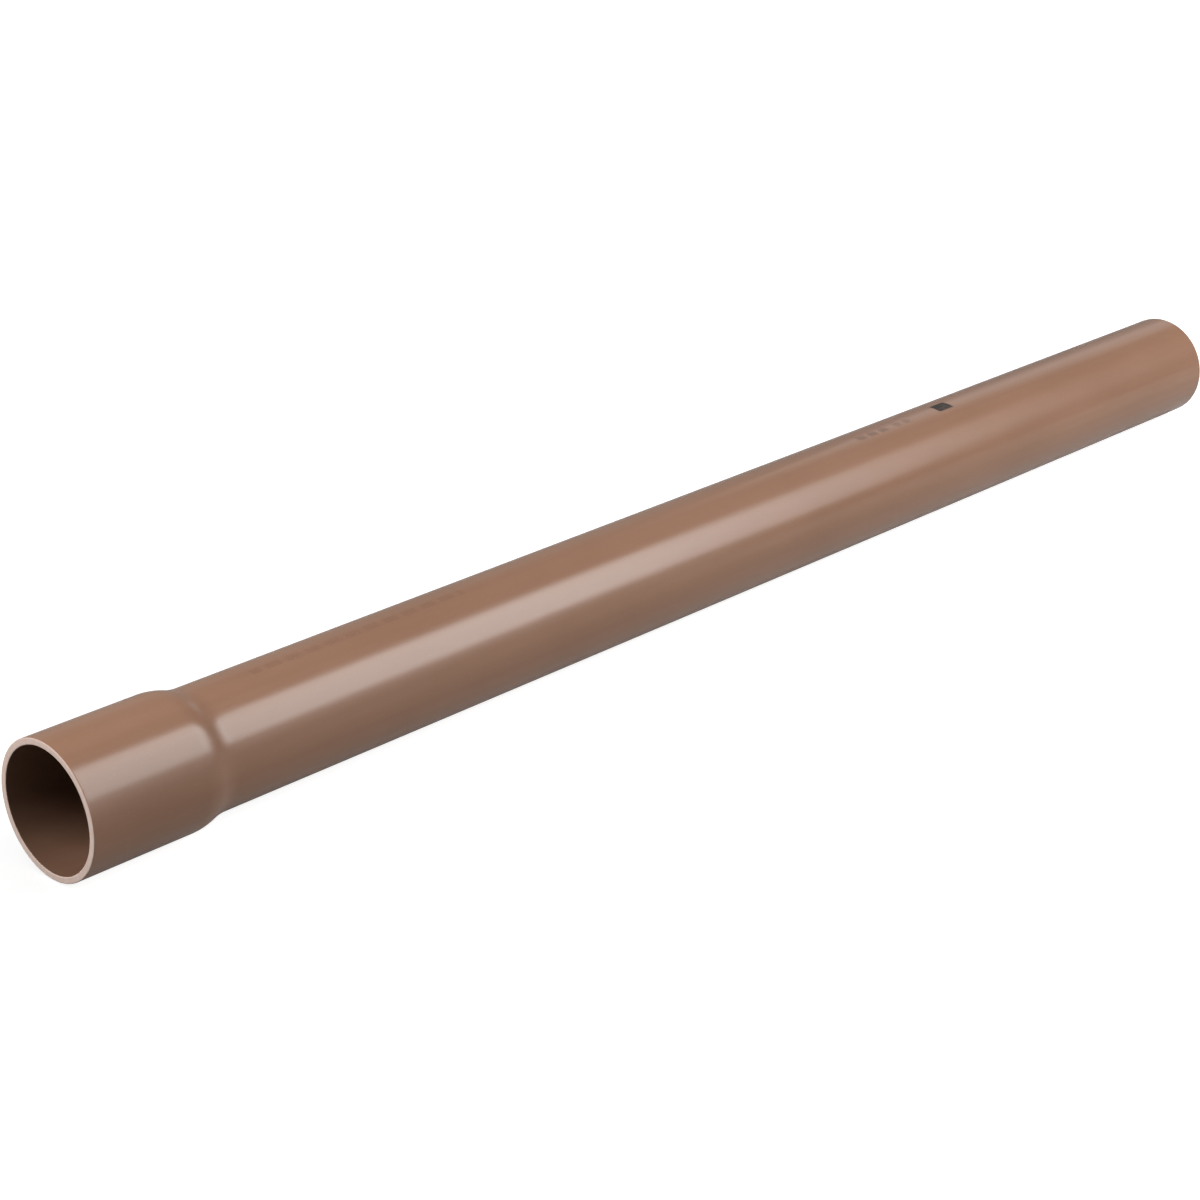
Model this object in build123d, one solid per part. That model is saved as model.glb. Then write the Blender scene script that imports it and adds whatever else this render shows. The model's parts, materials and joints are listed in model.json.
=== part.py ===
from build123d import *

import os
from math import atan2, cos, degrees, sin

# One length of rigid PVC pressure pipe for solvent-cement joints, 50 mm across.
# One end is belled into a socket that takes the plain end of the next length.
# The pipe lies on a level floor, so it touches at the bell and at the plain end, and its axis slopes a little.
# +X runs along the pipe from the socket to the plain end, +Z is up.
# The origin is on the floor, under the middle of the length. All lengths are millimetres.

# Barrel
pipe_length = 715.0
barrel_outer_diameter = 50.0
barrel_wall = 3.0

# Socket: the end of the tube, softened and pushed over a mandrel
socket_depth = 52.0
socket_clearance = 0.1
bell_wall = 2.8
shoulder_length = 17.6

# Cut edges
mouth_edge_round = 0.4
plain_end_bevel = 0.8

# Radii of the section
barrel_radius = barrel_outer_diameter / 2
bore_radius = barrel_radius - barrel_wall
socket_radius = barrel_radius + socket_clearance
bell_radius = socket_radius + bell_wall

# Where the shoulder meets the barrel, counted from the socket's mouth
shoulder_end = socket_depth + shoulder_length


def ogee(start, end):
    """Two tangent arcs that leave start and reach end both running along the axis."""
    middle = (start + end) / 2
    along_axis = Vector(1, 0)
    return [TangentArc(start, middle, tangent=along_axis), TangentArc(end, middle, tangent=-along_axis)]


def wall_line(socket_side_radius, barrel_side_radius):
    """One face of the tube wall in section: the socket, the shoulder, then the barrel."""
    mouth = Vector(0, socket_side_radius)
    shoulder_top = Vector(socket_depth, socket_side_radius)
    shoulder_foot = Vector(shoulder_end, barrel_side_radius)
    plain_end = Vector(pipe_length, barrel_side_radius)
    return [Line(mouth, shoulder_top), *ogee(shoulder_top, shoulder_foot), Line(shoulder_foot, plain_end)]


def wall_section():
    """The tube wall cut along the axis, with its four cut edges eased."""
    outside = wall_line(bell_radius, barrel_radius)
    inside = wall_line(socket_radius, bore_radius)
    mouth_face = Line(inside[0] @ 0, outside[0] @ 0)
    plain_face = Line(outside[-1] @ 1, inside[-1] @ 1)
    section = make_face([*outside, plain_face, *inside, mouth_face])
    mouth_corners = section.vertices().group_by(Axis.X)[0]
    section = fillet(mouth_corners, radius=mouth_edge_round)
    plain_corners = section.vertices().group_by(Axis.X)[-1]
    return chamfer(plain_corners, length=plain_end_bevel)


def pipe():
    """The whole pipe about the X axis, with the middle of its length at the origin."""
    return Pos(X=-pipe_length / 2) * revolve(wall_section(), axis=Axis.X)


def lying(body):
    """The pipe laid on the floor, on the end of its bell and the end of its barrel."""
    bell_contact = socket_depth - pipe_length / 2
    plain_contact = pipe_length / 2 - plain_end_bevel
    lie_angle = atan2(bell_radius - barrel_radius, plain_contact - bell_contact)
    axis_height = bell_radius * cos(lie_angle) + bell_contact * sin(lie_angle)
    return Pos(Z=axis_height) * Rot(Y=degrees(lie_angle)) * body


os.makedirs("parts", exist_ok=True)
export_step(lying(pipe()), "parts/pipe.step")
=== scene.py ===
"""Dresses one length of brown PVC pipe with a belled socket, and lays it in a plain pale studio."""

import json
import logging
import math
from dataclasses import dataclass
from enum import Enum

import bpy
from mathutils import Matrix, Vector


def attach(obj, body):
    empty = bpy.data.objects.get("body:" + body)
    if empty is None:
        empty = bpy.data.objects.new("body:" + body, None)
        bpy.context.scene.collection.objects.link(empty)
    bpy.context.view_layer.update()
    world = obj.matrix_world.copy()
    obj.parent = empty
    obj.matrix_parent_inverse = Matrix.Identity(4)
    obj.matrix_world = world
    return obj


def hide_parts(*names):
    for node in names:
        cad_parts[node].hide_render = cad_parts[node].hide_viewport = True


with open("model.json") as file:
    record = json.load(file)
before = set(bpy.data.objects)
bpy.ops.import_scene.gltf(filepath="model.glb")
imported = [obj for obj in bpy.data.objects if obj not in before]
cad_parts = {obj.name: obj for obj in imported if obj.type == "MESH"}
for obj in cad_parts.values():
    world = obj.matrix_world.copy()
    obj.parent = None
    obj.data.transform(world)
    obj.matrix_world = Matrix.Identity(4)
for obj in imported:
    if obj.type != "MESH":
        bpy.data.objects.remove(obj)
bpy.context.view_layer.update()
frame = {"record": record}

log = logging.getLogger("pipe_scene")

Triple = tuple[float, float, float]
Colour = tuple[float, float, float]
Socket = bpy.types.NodeSocket
Amount = float | Socket
Tint = Colour | Socket

MILLIMETRE = 0.001
WHITE = (1.0, 1.0, 1.0)


class Wall(Enum):
    """The faces of the tube's wall, each with the number of its finish on the piece."""

    OUTSIDE = 0
    INSIDE = 1
    CUT = 2


@dataclass(frozen=True)
class PipeSizes:
    """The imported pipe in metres. Stations count along its axis from the mouth of the socket."""

    mouth: Vector
    along: Vector
    length: float
    barrel_radius: float
    bore_radius: float
    bell_radius: float
    socket_radius: float
    socket_depth: float
    shoulder_end: float
    mouth_round: float
    end_bevel: float

    @classmethod
    def from_mounts(cls, mounts: list[dict]) -> "PipeSizes":
        """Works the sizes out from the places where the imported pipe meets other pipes.

        Args:
            mounts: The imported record's mounts.

        Returns:
            The sizes of the pipe.
        """
        named = {mount["name"]: mount for mount in mounts}
        place = {name: Vector(mount["pos_m"]) for name, mount in named.items()}
        socket, spigot, bore = (named[name]["dims"] for name in ("socket", "spigot", "flow_bore"))
        along = Vector(named["spigot"]["axis"]).normalized()
        mouth = place["socket"] + along * along.dot(place["mouth_face"] - place["socket"])
        length = along.dot(place["plain_end_face"] - mouth)
        spigot_end = along.dot(place["spigot"] - mouth)
        socket_depth = along.dot(place["socket"] - mouth)
        socket_radius = socket["r_mm"] * MILLIMETRE
        rim_middle = (place["mouth_face"] - mouth).length
        return cls(
            mouth=mouth,
            along=along,
            length=length,
            barrel_radius=spigot["r_mm"] * MILLIMETRE,
            bore_radius=bore["r_mm"] * MILLIMETRE,
            bell_radius=2 * rim_middle - socket_radius,
            socket_radius=socket_radius,
            socket_depth=socket_depth,
            shoulder_end=spigot_end - spigot["length_mm"] * MILLIMETRE,
            mouth_round=socket_depth - socket["length_mm"] * MILLIMETRE,
            end_bevel=length - spigot_end,
        )

    def lay(self) -> Matrix:
        """Finds the turn and shift from the pipe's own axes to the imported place.

        Returns:
            The matrix that takes +Z from the mouth to the plain end, and +X to the top of the pipe.
        """
        level_up = Vector((0, 0, 1))
        up = (level_up - self.along * self.along.dot(level_up)).normalized()
        turn = Matrix((up, self.along.cross(up), self.along)).transposed()
        return Matrix.Translation(self.mouth) @ turn.to_4x4()


class NodeBench:
    """A node tree with short ways to add nodes, fill in their sockets and join them."""

    def __init__(self, tree: bpy.types.NodeTree) -> None:
        """Takes a tree and empties it."""
        tree.nodes.clear()
        self.tree = tree

    def fill(self, socket: Socket, value: object) -> None:
        """Joins an output to a socket, or types a value into it.

        Args:
            socket: The input to fill.
            value: An output of another node, a number, a colour or a vector.
        """
        if isinstance(value, Socket):
            self.tree.links.new(value, socket)
        elif socket.type == "RGBA":
            socket.default_value = (*value, 1.0)
        else:
            socket.default_value = value

    def add(self, kind: str, sockets: dict | None = None, **settings: object) -> bpy.types.Node:
        """Adds one node.

        Args:
            kind: The node's type name.
            sockets: What goes into its inputs, by the input's name or number.
            **settings: The node's own options.

        Returns:
            The new node.
        """
        node = self.tree.nodes.new(kind)
        for option, value in settings.items():
            setattr(node, option, value)
        for name, value in (sockets or {}).items():
            self.fill(node.inputs[name], value)
        return node

    def reckon(self, operation: str, first: Amount, second: Amount = 0.0) -> Socket:
        """Works out one sum of one or two numbers."""
        return self.add("ShaderNodeMath", {0: first, 1: second}, operation=operation).outputs[0]

    def ramp(self, value: Amount, start: float, end: float, low: Amount, high: Amount) -> Socket:
        """Eases a number from low at start to high at end.

        Args:
            value: The number to read.
            start: Where the slope begins.
            end: Where it ends.
            low: The result up to start.
            high: The result from end on.

        Returns:
            The eased number.
        """
        sockets = {0: value, 1: start, 2: end, 3: low, 4: high}
        return self.add("ShaderNodeMapRange", sockets, interpolation_type="SMOOTHSTEP").outputs[0]

    def band(self, value: Amount, centre: float, half: float, soft: float) -> Socket:
        """Marks where a number lies near a centre.

        Args:
            value: The number to read.
            centre: The middle of the band.
            half: Half of the band's width.
            soft: How far its edges fade, to each side.

        Returns:
            1 inside the band and 0 outside it.
        """
        away = self.reckon("ABSOLUTE", self.reckon("SUBTRACT", value, centre))
        return self.ramp(away, half - soft, half + soft, 1.0, 0.0)

    def blend(self, share: Amount, first: Tint, second: Tint) -> Socket:
        """Mixes two colours.

        Args:
            share: How much of the second shows, from 0 to 1.
            first: The first colour.
            second: The second colour.

        Returns:
            The mixed colour.
        """
        node = self.add("ShaderNodeMix", data_type="RGBA")
        inputs = {socket.identifier: socket for socket in node.inputs}
        self.fill(inputs["Factor_Float"], share)
        self.fill(inputs["A_Color"], first)
        self.fill(inputs["B_Color"], second)
        return next(socket for socket in node.outputs if socket.identifier == "Result_Color")

    def pipe_place(self, lay: Matrix) -> Socket:
        """Reads the place on the pipe in the pipe's own axes.

        Args:
            lay: The turn and shift from the pipe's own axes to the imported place.

        Returns:
            A vector in metres: x to the top, y to the near side, z the station from the mouth.
        """
        place = self.add("ShaderNodeTexCoord").outputs["Object"]
        turned = {"Vector": place, "Location": lay.to_translation(), "Rotation": lay.to_euler()}
        return self.add("ShaderNodeMapping", turned, vector_type="TEXTURE").outputs[0]

    def show_plastic(self, colour: Tint, roughness: Amount, ior: float, height: Socket) -> None:
        """Joins a plastic with a low relief to the material's output.

        Args:
            colour: The plastic's colour.
            roughness: How rough its gloss is.
            ior: Its index of refraction.
            height: How far its surface stands proud, in metres.
        """
        normal = self.add("ShaderNodeBump", {"Height": height, "Distance": 1.0}).outputs[0]
        sockets = {"Base Color": colour, "Roughness": roughness, "IOR": ior, "Normal": normal}
        plastic = self.add("ShaderNodeBsdfPrincipled", sockets).outputs[0]
        self.add("ShaderNodeOutputMaterial", {"Surface": plastic})


@dataclass(frozen=True)
class Mottle:
    """A soft noise in the pipe's own axes. Its patches count to the metre: up, across and along the pipe.

    The noise lies about 0.5. None of it shows up to start, and all of it from end on.
    """

    patches: Triple
    detail: float = 2.0
    start: float = 0.0
    end: float = 1.0

    def noise(self, bench: NodeBench, place: Socket) -> Socket:
        """Lays the plain noise.

        Args:
            bench: The node tree of the finish.
            place: The place on the pipe, in its own axes.

        Returns:
            The noise's value.
        """
        spread = bench.add("ShaderNodeVectorMath", {0: place, 1: self.patches}, operation="MULTIPLY")
        sockets = {"Vector": spread.outputs[0], "Scale": 1.0, "Detail": self.detail}
        return bench.add("ShaderNodeTexNoise", sockets).outputs[0]

    def between(self, bench: NodeBench, place: Socket, low: float, high: float) -> Socket:
        """Eases the noise from low, where none of it shows, to high, where all of it does."""
        return bench.ramp(self.noise(bench, place), self.start, self.end, low, high)

    def relief(self, bench: NodeBench, place: Socket, depth: float) -> Socket:
        """Makes the plain noise a height, up to a depth in metres."""
        return bench.reckon("MULTIPLY", self.noise(bench, place), depth)


@dataclass(frozen=True)
class DashRow:
    """A row of short ink dashes along the barrel, worn to a part of the ink's strength."""

    start: float
    end: float
    pitch: float
    strength: float
    offset: float = 2.4 * MILLIMETRE
    height: float = 3.6 * MILLIMETRE
    share: float = 0.72

    def mask(self, bench: NodeBench, station: Socket, round_way: Socket, fade: float) -> Socket:
        """Marks where the dashes lie.

        Args:
            bench: The node tree of the outside finish.
            station: How far along the axis a place is, from the mouth.
            round_way: How far round the barrel it is, from the top to the near side.
            fade: How far the ink's edges fade.

        Returns:
            How strong the ink is, from 0 to the row's strength.
        """
        middle = (self.start + self.end) / 2
        reach = bench.band(station, middle, self.end - middle, fade)
        steps = bench.reckon("FRACT", bench.reckon("DIVIDE", station, self.pitch))
        run = bench.band(steps, 0.5, self.share / 2, fade / self.pitch)
        rise = bench.band(round_way, self.offset, self.height / 2, fade)
        dashes = bench.reckon("MULTIPLY", bench.reckon("MULTIPLY", reach, run), rise)
        return bench.reckon("MULTIPLY", dashes, self.strength)


@dataclass(frozen=True)
class InkLine:
    """A plain line of matt factory ink along the barrel: one block, and rows of fainter dashes."""

    colour: Colour = (0.012, 0.010, 0.009)
    roughness: float = 0.7
    block_station: float = 521.5 * MILLIMETRE
    block_length: float = 10.5 * MILLIMETRE
    block_height: float = 7.0 * MILLIMETRE
    block_offset: float = 1.6 * MILLIMETRE
    fade: float = 0.4 * MILLIMETRE
    rows: tuple[DashRow, ...] = (
        DashRow(456.0 * MILLIMETRE, 480.0 * MILLIMETRE, pitch=8.0 * MILLIMETRE, strength=0.3),
        DashRow(484.0 * MILLIMETRE, 498.0 * MILLIMETRE, pitch=7.0 * MILLIMETRE, strength=0.22),
        DashRow(94.0 * MILLIMETRE, 204.0 * MILLIMETRE, pitch=10.0 * MILLIMETRE, strength=0.1),
    )
    patches: Mottle = Mottle((900.0, 900.0, 500.0), start=0.3, end=0.6)
    thinnest: float = 0.8

    def mask(self, bench: NodeBench, place: Socket, barrel_radius: float) -> Socket:
        """Marks where the ink lies.

        Args:
            bench: The node tree of the outside finish.
            place: The place on the pipe, in its own axes.
            barrel_radius: The radius that the ink lies on.

        Returns:
            How strong the ink is, from 0 to 1.
        """
        axes = bench.add("ShaderNodeSeparateXYZ", {0: place}).outputs
        station = axes["Z"]
        turn = bench.reckon("ARCTAN2", axes["Y"], axes["X"])
        round_way = bench.reckon("MULTIPLY", turn, barrel_radius)
        block_run = bench.band(station, self.block_station, self.block_length / 2, self.fade)
        block_rise = bench.band(round_way, self.block_offset, self.block_height / 2, self.fade)
        ink = bench.reckon("MULTIPLY", block_run, block_rise)
        for row in self.rows:
            ink = bench.reckon("MAXIMUM", ink, row.mask(bench, station, round_way, self.fade))
        return bench.reckon("MULTIPLY", ink, self.patches.between(bench, place, self.thinnest, 1.0))


@dataclass(frozen=True)
class DrawnSkin:
    """The drawn face of the tube: satin brown, with faint lines along the draw."""

    name: str
    body: Colour
    pale: Colour
    deep: Colour
    roughness: float
    ior: float = 1.53
    streaks: Mottle = Mottle((110.0, 110.0, 1.6), detail=4.0, start=0.3, end=0.7)
    streak_share: float = 0.45
    clouds: Mottle = Mottle((28.0, 28.0, 14.0), detail=3.0, start=0.35, end=0.7)
    cloud_share: float = 0.4
    specks: Mottle = Mottle((1500.0, 1500.0, 900.0), detail=0.0, start=0.72, end=0.8)
    speck_share: float = 0.5
    gloss_streaks: Mottle = Mottle((120.0, 120.0, 3.0), start=0.25, end=0.75)
    smoothest: float = 0.9
    roughest: float = 1.08
    die_lines: Mottle = Mottle((1400.0, 1400.0, 5.0))
    die_line_depth: float = 0.0015 * MILLIMETRE
    ripples: Mottle = Mottle((26.0, 26.0, 9.0), detail=1.0)
    ripple_depth: float = 0.012 * MILLIMETRE
    peel: Mottle = Mottle((350.0, 350.0, 250.0), detail=1.0)
    peel_depth: float = 0.002 * MILLIMETRE
    ink: InkLine | None = None

    def material(self, sizes: PipeSizes) -> bpy.types.Material:
        """Makes the finish.

        Args:
            sizes: The pipe that it goes on.

        Returns:
            The material.
        """
        material = bpy.data.materials.new(self.name)
        material.use_nodes = True
        bench = NodeBench(material.node_tree)
        place = bench.pipe_place(sizes.lay())
        colour = self.colour(bench, place)
        rough = self.gloss(bench, place)
        if self.ink is not None:
            inked = self.ink.mask(bench, place, sizes.barrel_radius)
            colour = bench.blend(inked, colour, self.ink.colour)
            rough = bench.ramp(inked, 0.0, 1.0, rough, self.ink.roughness)
        bench.show_plastic(colour, rough, self.ior, self.relief(bench, place))
        return material

    def colour(self, bench: NodeBench, place: Socket) -> Socket:
        """Mixes long streaks, soft cloudiness and pigment specks into the body colour.

        Args:
            bench: The node tree.
            place: The place on the pipe, in its own axes.

        Returns:
            The colour.
        """
        tone = bench.blend(self.streaks.between(bench, place, 0.0, self.streak_share), self.body, self.pale)
        tone = bench.blend(self.clouds.between(bench, place, 0.0, self.cloud_share), tone, self.deep)
        return bench.blend(self.specks.between(bench, place, 0.0, self.speck_share), tone, self.pale)

    def gloss(self, bench: NodeBench, place: Socket) -> Socket:
        """Varies the roughness a little along the draw."""
        low, high = self.roughness * self.smoothest, self.roughness * self.roughest
        return self.gloss_streaks.between(bench, place, low, high)

    def relief(self, bench: NodeBench, place: Socket) -> Socket:
        """Raises die lines, slow ripples and a fine peel by their real depths.

        Args:
            bench: The node tree.
            place: The place on the pipe, in its own axes.

        Returns:
            The height of the surface, in metres.
        """
        lines = self.die_lines.relief(bench, place, self.die_line_depth)
        ripples = self.ripples.relief(bench, place, self.ripple_depth)
        peel = self.peel.relief(bench, place, self.peel_depth)
        return bench.reckon("ADD", bench.reckon("ADD", lines, ripples), peel)


@dataclass(frozen=True)
class SawnFace:
    """The sawn face of the wall: paler, matt, with saw marks across it."""

    name: str
    body: Colour
    mark: Colour
    roughness: float
    marked_roughness: float
    ior: float = 1.5
    saw_marks: Mottle = Mottle((225.0, 900.0, 225.0), detail=3.0, start=0.3, end=0.7)
    saw_mark_share: float = 0.5
    grain: Mottle = Mottle((2500.0, 2500.0, 2500.0), start=0.35, end=0.65)
    grain_share: float = 0.2
    mark_depth: float = 0.02 * MILLIMETRE

    def material(self, sizes: PipeSizes) -> bpy.types.Material:
        """Makes the finish.

        Args:
            sizes: The pipe that it goes on.

        Returns:
            The material.
        """
        material = bpy.data.materials.new(self.name)
        material.use_nodes = True
        bench = NodeBench(material.node_tree)
        place = bench.pipe_place(sizes.lay())
        marks = self.saw_marks.between(bench, place, 0.0, 1.0)
        grain = self.grain.between(bench, place, 0.0, 1.0)
        tone = bench.blend(bench.reckon("MULTIPLY", marks, self.saw_mark_share), self.body, self.mark)
        tone = bench.blend(bench.reckon("MULTIPLY", grain, self.grain_share), tone, self.mark)
        rough = bench.ramp(marks, 0.0, 1.0, self.roughness, self.marked_roughness)
        height = bench.reckon("MULTIPLY", bench.reckon("ADD", marks, grain), -self.mark_depth)
        bench.show_plastic(tone, rough, self.ior, height)
        return material


def eased(before: Vector, corner: Vector, after: Vector, radius: float, steps: int) -> list[Vector]:
    """Rounds one corner of an outline.

    Args:
        before: The point before the corner.
        corner: The corner.
        after: The point after it.
        radius: The radius of the round.
        steps: The number of straight steps along the round.

    Returns:
        The points of the round, from its start to its end.
    """
    towards = (before - corner).normalized()
    onwards = (after - corner).normalized()
    half_angle = towards.angle(onwards) / 2
    start = corner + towards * radius / math.tan(half_angle)
    end = corner + onwards * radius / math.tan(half_angle)
    centre = corner + (towards + onwards).normalized() * radius / math.sin(half_angle)
    first = (start - centre).normalized()
    last = (end - centre).normalized()
    return [centre + first.slerp(last, step / steps) * radius for step in range(steps + 1)]


def ogee(start: Vector, end: Vector, steps: int) -> list[Vector]:
    """Draws two equal tangent arcs that leave start and reach end both along the axis.

    Args:
        start: The point where the first arc begins.
        end: The point where the second arc ends.
        steps: The number of straight steps along each arc.

    Returns:
        The points of both arcs, from start to end.
    """
    run, rise = end - start
    radius = (run * run + rise * rise) / abs(4 * rise)
    sweep = 2 * math.atan2(abs(rise), abs(run))
    turns = [sweep * step / steps for step in range(steps + 1)]
    moves = [
        Vector((
            math.copysign(radius * math.sin(turn), run),
            math.copysign(radius * (1 - math.cos(turn)), rise),
        ))
        for turn in turns
    ]
    return [start + move for move in moves] + [end - move for move in reversed(moves[:-1])]


def spaced(outline: list[Vector], longest: float, hold: float, shortest: float) -> list[Vector]:
    """Adds points to a closed outline, so that each long run has holding points and even steps.

    Args:
        outline: The outline's corners and curves, in order.
        longest: The longest step that is left.
        hold: How far from each end of a long run its holding points lie.
        shortest: The shortest run that gets points.

    Returns:
        The outline with the added points.
    """
    points = []
    for start, end in zip(outline, outline[1:] + outline[:1]):
        points.append(start)
        run = (end - start).length
        if run < shortest:
            continue
        steps = max(1, math.ceil(run / longest))
        inner = (run - 2 * hold) / run
        shares = [hold / run + inner * step / steps for step in range(steps + 1)]
        points.extend(start.lerp(end, share) for share in shares)
    return points


@dataclass(frozen=True)
class BelledPipe:
    """The whole pipe: barrel, shoulder, socket and both cut ends, drawn as one closed wall."""

    sizes: PipeSizes
    name: str = "belled_pipe"
    sides: int = 192
    longest_step: float = 30.0 * MILLIMETRE
    shortest_held: float = 1.2 * MILLIMETRE
    hold: float = 0.3 * MILLIMETRE
    burr_round: float = 0.15 * MILLIMETRE
    merge_distance: float = 0.0015 * MILLIMETRE
    shoulder_steps: int = 12
    corner_steps: int = 5
    smooth_angle: float = math.radians(35.0)
    outside: DrawnSkin = DrawnSkin(
        name="brown_pvc_outside",
        body=(0.212, 0.110, 0.067),
        pale=(0.244, 0.132, 0.083),
        deep=(0.182, 0.092, 0.054),
        roughness=0.25,
        ink=InkLine(),
    )
    # Painted shade: the inside is the same brown plastic as the outside, with its colours darkened to about
    # half so the bore reads darker.
    inside: DrawnSkin = DrawnSkin(
        name="brown_pvc_inside_painted_shade",
        body=(0.117, 0.060, 0.037),
        pale=(0.134, 0.073, 0.046),
        deep=(0.100, 0.051, 0.030),
        roughness=0.42,
    )
    cut: SawnFace = SawnFace(
        name="brown_pvc_sawn",
        body=(0.453, 0.350, 0.306),
        mark=(0.366, 0.271, 0.227),
        roughness=0.62,
        marked_roughness=0.713,
    )

    def outline(self) -> list[Vector]:
        """Draws the wall's section as a closed line of stations and radii.

        Returns:
            The points in order: the outside from the mouth to the plain end, then the inside back.
        """
        size = self.sizes
        plain = size.length
        bevel_start = plain - size.end_bevel
        rim_outer = Vector((0.0, size.bell_radius))
        rim_inner = Vector((0.0, size.socket_radius))
        outer_shoulder = ogee(
            Vector((size.socket_depth, size.bell_radius)),
            Vector((size.shoulder_end, size.barrel_radius)),
            self.shoulder_steps,
        )
        inner_shoulder = ogee(
            Vector((size.shoulder_end, size.bore_radius)),
            Vector((size.socket_depth, size.socket_radius)),
            self.shoulder_steps,
        )
        end_corners = [
            outer_shoulder[-1],
            Vector((bevel_start, size.barrel_radius)),
            Vector((plain, size.barrel_radius - size.end_bevel)),
            Vector((plain, size.bore_radius + size.end_bevel)),
            Vector((bevel_start, size.bore_radius)),
            inner_shoulder[0],
        ]
        plain_end = []
        for before, corner, after in zip(end_corners, end_corners[1:], end_corners[2:]):
            plain_end += eased(before, corner, after, self.burr_round, self.corner_steps)
        mouth_outside = eased(rim_inner, rim_outer, outer_shoulder[0], size.mouth_round, self.corner_steps)
        mouth_inside = eased(inner_shoulder[-1], rim_inner, rim_outer, size.mouth_round, self.corner_steps)
        return mouth_outside + outer_shoulder + plain_end + inner_shoulder + mouth_inside

    def draw_wall(self) -> bpy.types.Object:
        """Draws a circle out ring by ring along the section until the wall closes on itself.

        Returns:
            The pipe about its own +Z axis, with its mouth at the origin.
        """
        rings = spaced(self.outline(), self.longest_step, self.hold, self.shortest_held)
        bpy.ops.object.select_all(action="DESELECT")
        bpy.ops.mesh.primitive_circle_add(vertices=self.sides, radius=rings[0].y)
        piece = bpy.context.object
        piece.name = self.name
        piece.data.name = self.name
        bpy.ops.object.mode_set(mode="EDIT")
        bpy.ops.mesh.select_all(action="SELECT")
        bpy.ops.transform.translate(value=(0, 0, rings[0].x))
        for last, ring in zip(rings, rings[1:] + rings[:1]):
            widen = ring.y / last.y
            bpy.ops.mesh.extrude_region_move(TRANSFORM_OT_translate={"value": (0, 0, ring.x - last.x)})
            bpy.ops.transform.resize(value=(widen, widen, 1), center_override=(0, 0, ring.x))
        bpy.ops.mesh.select_all(action="SELECT")
        bpy.ops.mesh.remove_doubles(threshold=self.merge_distance)
        bpy.ops.mesh.normals_make_consistent(inside=False)
        bpy.ops.object.mode_set(mode="OBJECT")
        return piece

    def wall_at(self, centre: Vector, radius: float) -> Wall:
        """Tells which face of the wall a place lies on.

        Args:
            centre: The middle of a face of the mesh, in the pipe's own axes.
            radius: How far that is from the axis.

        Returns:
            The face of the wall.
        """
        size = self.sizes
        if centre.z < size.mouth_round / 2 or centre.z > size.length - size.end_bevel:
            return Wall.CUT
        middle = (size.barrel_radius + size.bore_radius) / 2
        if centre.z < (size.socket_depth + size.shoulder_end) / 2:
            middle = (size.bell_radius + size.socket_radius) / 2
        return Wall.OUTSIDE if radius > middle else Wall.INSIDE

    def dress(self, piece: bpy.types.Object) -> None:
        """Gives each face of the wall its finish, and smooths the rounds.

        Args:
            piece: The pipe about its own axis.
        """
        finishes = {Wall.OUTSIDE: self.outside, Wall.INSIDE: self.inside, Wall.CUT: self.cut}
        for wall in Wall:
            piece.data.materials.append(finishes[wall].material(self.sizes))
        for face in piece.data.polygons:
            face.material_index = self.wall_at(face.center, face.center.xy.length).value
        bpy.ops.object.shade_smooth_by_angle(angle=self.smooth_angle)

    def build(self) -> bpy.types.Object:
        """Makes the pipe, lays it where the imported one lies, and lets it stand for that one.

        Returns:
            The finished piece.
        """
        piece = self.draw_wall()
        self.dress(piece)
        piece.matrix_world = self.sizes.lay()
        bpy.ops.object.transform_apply(location=True, rotation=True, scale=True)
        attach(piece, "root")
        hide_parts("pipe")
        return piece


@dataclass(frozen=True)
class Softbox:
    """A soft rectangular studio lamp. Its radiance is 1 where it looks as bright as white paper.

    A flagged lamp lights the pipe alone, so none of its light reaches the floor.
    """

    name: str
    centre: Triple
    aim: Triple
    width: float
    height: float
    radiance: float
    flagged: bool = False

    def build(self, pipe: bpy.types.Object) -> bpy.types.Object:
        """Hangs the lamp and turns it to its aim.

        Args:
            pipe: The piece that a flagged lamp lights alone.

        Returns:
            The lamp.
        """
        lamp = bpy.data.lights.new(self.name, "AREA")
        lamp.shape = "RECTANGLE"
        lamp.size = self.width
        lamp.size_y = self.height
        lamp.energy = self.radiance * math.pi * self.width * self.height
        hung = bpy.data.objects.new(self.name, lamp)
        hung.location = self.centre
        hung.rotation_euler = (Vector(self.aim) - Vector(self.centre)).to_track_quat("-Z", "Y").to_euler()
        hung.visible_camera = False
        if self.flagged:
            lit = bpy.data.collections.new(f"{self.name}_lit")
            lit.objects.link(pipe)
            hung.light_linking.receiver_collection = lit
        bpy.context.scene.collection.objects.link(hung)
        return hung


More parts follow.
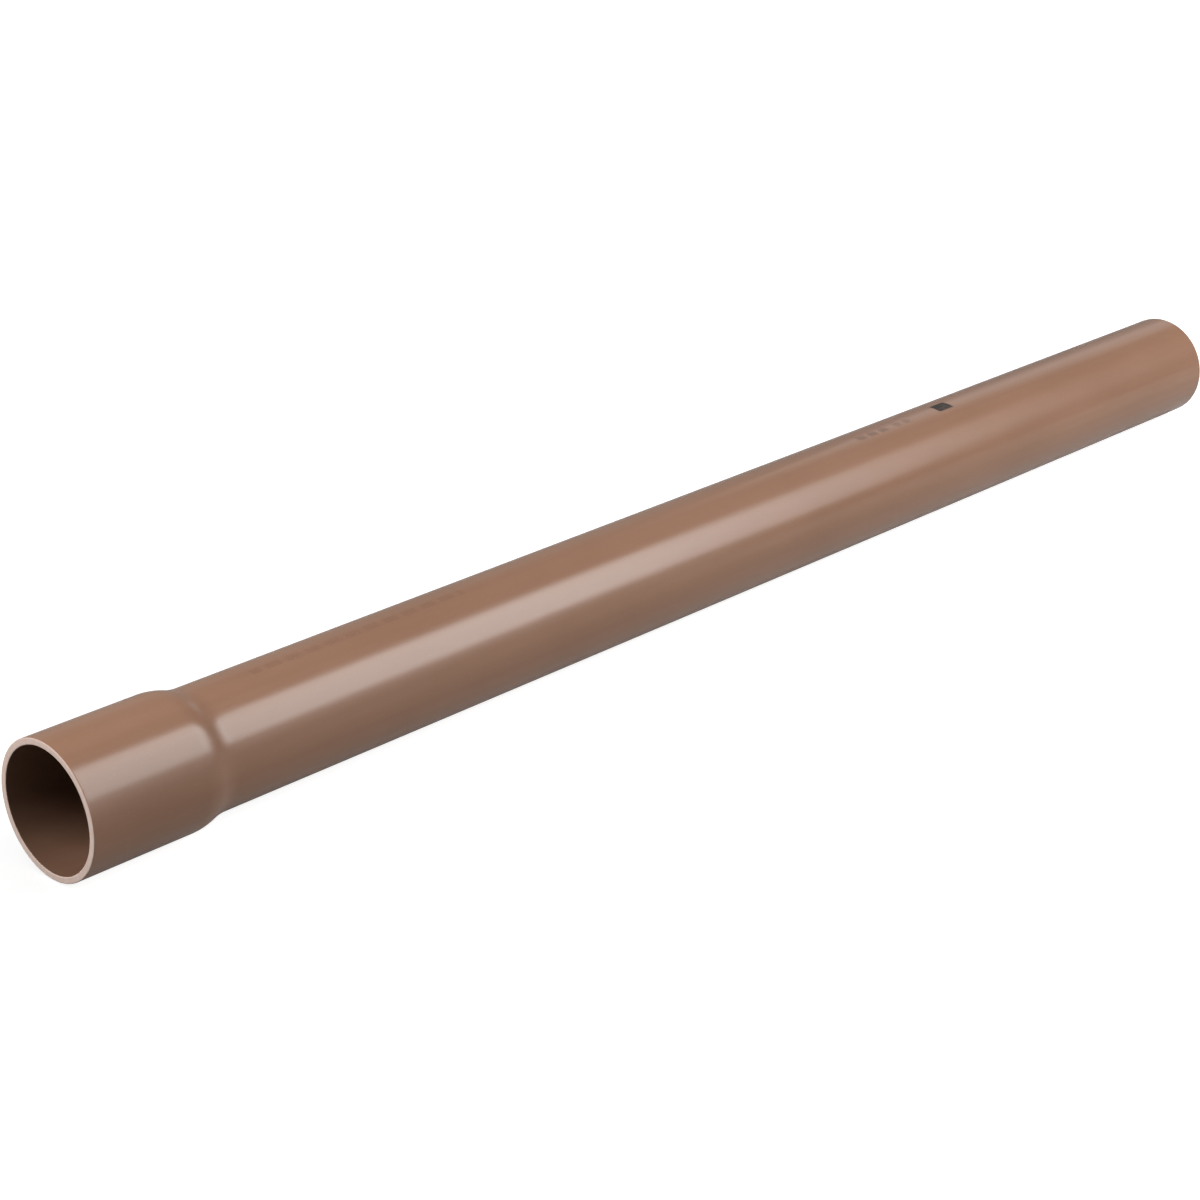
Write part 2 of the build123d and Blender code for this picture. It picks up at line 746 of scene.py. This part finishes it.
@dataclass(frozen=True)
class Studio:
    """The plain pale floor, the soft lamps and the white surroundings."""

    floor_size: float = 40.0
    floor_colour: Colour = (0.52, 0.52, 0.51)
    floor_glow: float = 0.87
    floor_gloss: float = 0.05
    backdrop_gloss: float = 0.30
    horizon_top: float = math.sin(math.radians(18.0))
    ceiling_start: float = math.sin(math.radians(32.0))
    horizon_light: float = 0.0
    zenith_light: float = 0.36
    lamps: tuple[Softbox, ...] = (
        Softbox(
            "key_softbox", centre=(0.375, -0.67, 0.77), aim=(0.375, 0.0, 0.027),
            width=0.55, height=0.92, radiance=5.2,
        ),
        Softbox(
            "key_far_softbox", centre=(0.80, -0.67, 0.77), aim=(0.80, 0.0, 0.027),
            width=0.30, height=0.92, radiance=6.1,
        ),
        Softbox(
            "key_end_softbox", centre=(1.10, -0.71, 0.71), aim=(1.10, 0.0, 0.027),
            width=0.30, height=0.92, radiance=3.0,
        ),
        Softbox(
            "mouth_softbox", centre=(-0.95, 0.26, 0.62), aim=(-0.357, 0.0, 0.028),
            width=0.60, height=0.60, radiance=12.2, flagged=True,
        ),
        Softbox(
            "front_softbox", centre=(0.30, -1.60, 0.45), aim=(0.10, 0.0, 0.027),
            width=2.40, height=0.80, radiance=0.5,
        ),
        Softbox(
            "low_softbox", centre=(-0.10, -1.20, 0.25), aim=(-0.10, 0.0, 0.02),
            width=0.50, height=0.50, radiance=3.0,
        ),
        Softbox(
            "back_softbox", centre=(1.65, 0.74, 0.82), aim=(0.80, 0.0, 0.027),
            width=0.70, height=0.50, radiance=0.71,
        ),
    )

    def seen_directly(self, bench: NodeBench, gloss_share: float) -> Socket:
        """Marks the rays that look at the background: from the camera, through a clear body or off a gloss.

        Args:
            bench: The node tree.
            gloss_share: How much of the white a gloss shows.

        Returns:
            1 for the camera's rays, the share for a gloss, and 0 for the light that bounces.
        """
        rays = bench.add("ShaderNodeLightPath").outputs
        clear = bench.reckon("MAXIMUM", rays["Is Camera Ray"], rays["Is Transmission Ray"])
        gloss = bench.reckon("MULTIPLY", rays["Is Glossy Ray"], gloss_share)
        return bench.reckon("MAXIMUM", clear, gloss)

    def lay_floor(self) -> bpy.types.Object:
        """Lays the floor under the pipe.

        Returns:
            The floor.
        """
        bpy.ops.object.select_all(action="DESELECT")
        bpy.ops.mesh.primitive_plane_add(size=self.floor_size, location=(0, 0, 0))
        floor = bpy.context.object
        floor.name = "studio_floor"
        material = bpy.data.materials.new("pale_floor")
        material.use_nodes = True
        bench = NodeBench(material.node_tree)
        paper = bench.add("ShaderNodeBsdfDiffuse", {"Color": self.floor_colour}).outputs[0]
        strength = bench.reckon("MULTIPLY", self.seen_directly(bench, self.floor_gloss), self.floor_glow)
        glow = bench.add("ShaderNodeEmission", {"Color": WHITE, "Strength": strength}).outputs[0]
        shown = bench.add("ShaderNodeAddShader", {0: paper, 1: glow}).outputs[0]
        bench.add("ShaderNodeOutputMaterial", {"Surface": shown})
        floor.data.materials.append(material)
        return floor

    def surround_with_white(self) -> None:
        """Makes the surroundings white to look at, with a lower light of their own."""
        world = bpy.data.worlds.new("studio_surround")
        world.use_nodes = True
        bpy.context.scene.world = world
        bench = NodeBench(world.node_tree)
        way = bench.add("ShaderNodeTexCoord").outputs["Generated"]
        rise = bench.add("ShaderNodeSeparateXYZ", {0: way}).outputs["Z"]
        strength = bench.ramp(rise, 0.0, 1.0, self.horizon_light, self.zenith_light)
        backdrop = bench.ramp(rise, self.horizon_top, self.ceiling_start, 1.0, 0.0)
        share = bench.reckon("MULTIPLY", self.seen_directly(bench, self.backdrop_gloss), backdrop)
        dim = bench.add("ShaderNodeBackground", {"Color": WHITE, "Strength": strength}).outputs[0]
        white = bench.add("ShaderNodeBackground", {"Color": WHITE, "Strength": 1.0}).outputs[0]
        mix = bench.add("ShaderNodeMixShader", {0: share, 1: dim, 2: white})
        bench.add("ShaderNodeOutputWorld", {"Surface": mix.outputs[0]})

    def build(self, pipe: bpy.types.Object) -> list[bpy.types.Object]:
        """Sets up the whole studio.

        Args:
            pipe: The piece that the studio shows.

        Returns:
            The floor and the lamps.
        """
        self.surround_with_white()
        return [self.lay_floor(), *(lamp.build(pipe) for lamp in self.lamps)]


@dataclass(frozen=True)
class StudioCamera:
    """The camera, placed round the middle of the pipe's length. Lengths are metres, the lens millimetres."""

    azimuth: float = math.radians(-46.157)
    elevation: float = math.radians(23.228)
    distance: float = 1.24472
    slide_right: float = -0.048731
    slide_up: float = -0.024283
    lens: float = 84.034
    sensor: float = 36.0

    def build(self, middle: Vector) -> bpy.types.Object:
        """Makes the camera and hands it to the scene.

        Args:
            middle: The middle of the pipe's axis.

        Returns:
            The camera.
        """
        sine, cosine = math.sin(self.azimuth), math.cos(self.azimuth)
        rise, reach = math.sin(self.elevation), math.cos(self.elevation)
        right = Vector((cosine, sine, 0))
        up = Vector((-rise * sine, rise * cosine, reach))
        back = Vector((reach * sine, -reach * cosine, rise))
        eye = middle + right * self.slide_right + up * self.slide_up + back * self.distance
        lens = bpy.data.cameras.new("studio_camera")
        lens.lens = self.lens
        lens.sensor_width = self.sensor
        camera = bpy.data.objects.new("studio_camera", lens)
        camera.matrix_world = Matrix.Translation(eye) @ Matrix((right, up, back)).transposed().to_4x4()
        bpy.context.scene.collection.objects.link(camera)
        bpy.context.scene.camera = camera
        return camera


def main() -> None:
    """Builds the pipe, the studio and the camera, and reports each."""
    logging.basicConfig(level=logging.INFO, format="%(message)s")
    bpy.context.scene.view_settings.view_transform = "Standard"
    sizes = PipeSizes.from_mounts(frame["record"]["mounts"])
    pipe = BelledPipe(sizes).build()
    log.info("pipe: %s, %d faces", pipe.name, len(pipe.data.polygons))
    for piece in Studio().build(pipe):
        log.info("studio: %s", piece.name)
    camera = StudioCamera().build(sizes.mouth + sizes.along * sizes.length / 2)
    log.info("camera: %s", camera.name)


if __name__ == "__main__":
    main()
